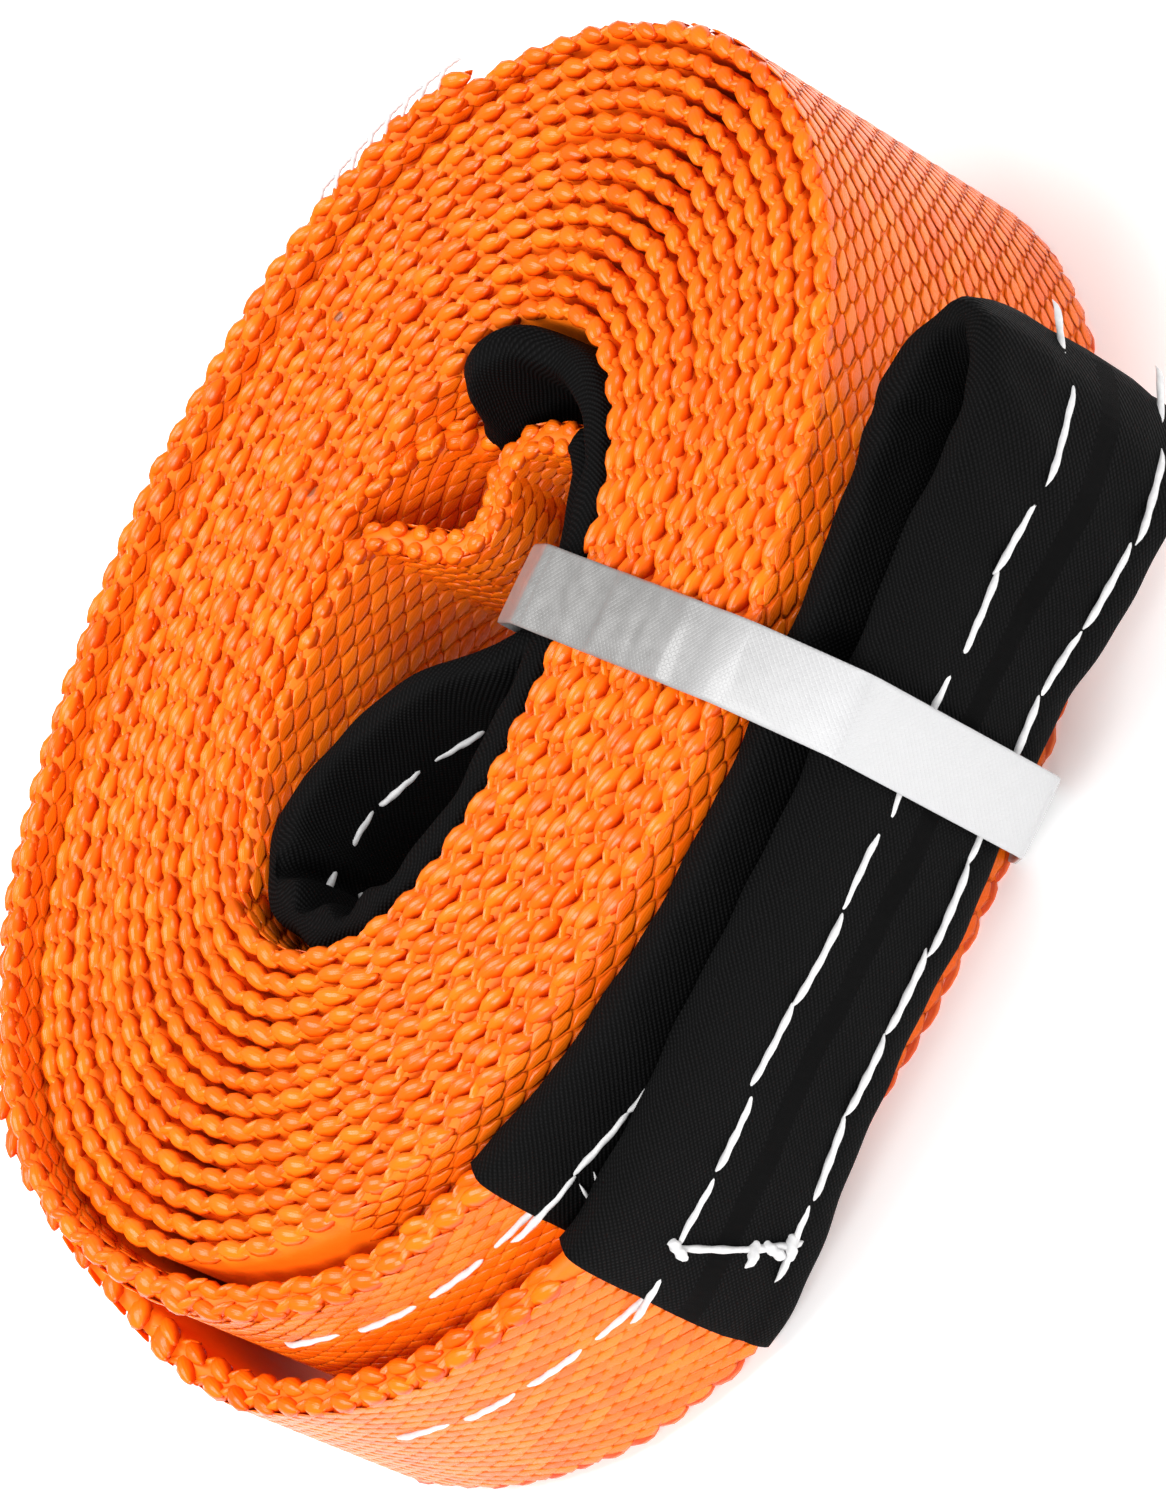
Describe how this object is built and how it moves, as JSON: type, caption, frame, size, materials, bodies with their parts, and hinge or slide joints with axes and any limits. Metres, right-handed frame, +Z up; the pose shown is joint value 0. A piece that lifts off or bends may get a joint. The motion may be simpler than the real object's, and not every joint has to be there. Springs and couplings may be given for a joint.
{
  "type": "tow strap",
  "caption": "Flat webbing tow strap wound into an oval roll on its side, with a sleeved eye at each end and a thin plastic band holding the roll for storage.",
  "frame": {"origin": "the middle of the strap's footprint on the floor", "axes": "+X runs along the roll's long axis toward the bend of the outer eye, -Y is the side where the outer eye lies, and +Z points up out of the roll's end"},
  "size_m": [0.1728, 0.1398, 0.054],
  "materials": {
    "webbing": "woven orange polyester, slightly glossy",
    "sleeve_cloth": "matt black twill cloth",
    "band_plastic": "translucent white, finely embossed"
  },
  "bodies": {
    "root": {"strap": "webbing", "outer_eye_sleeve": "sleeve_cloth", "inner_eye_sleeve": "sleeve_cloth", "retaining_band": "band_plastic"}
  },
  "joints": []
}
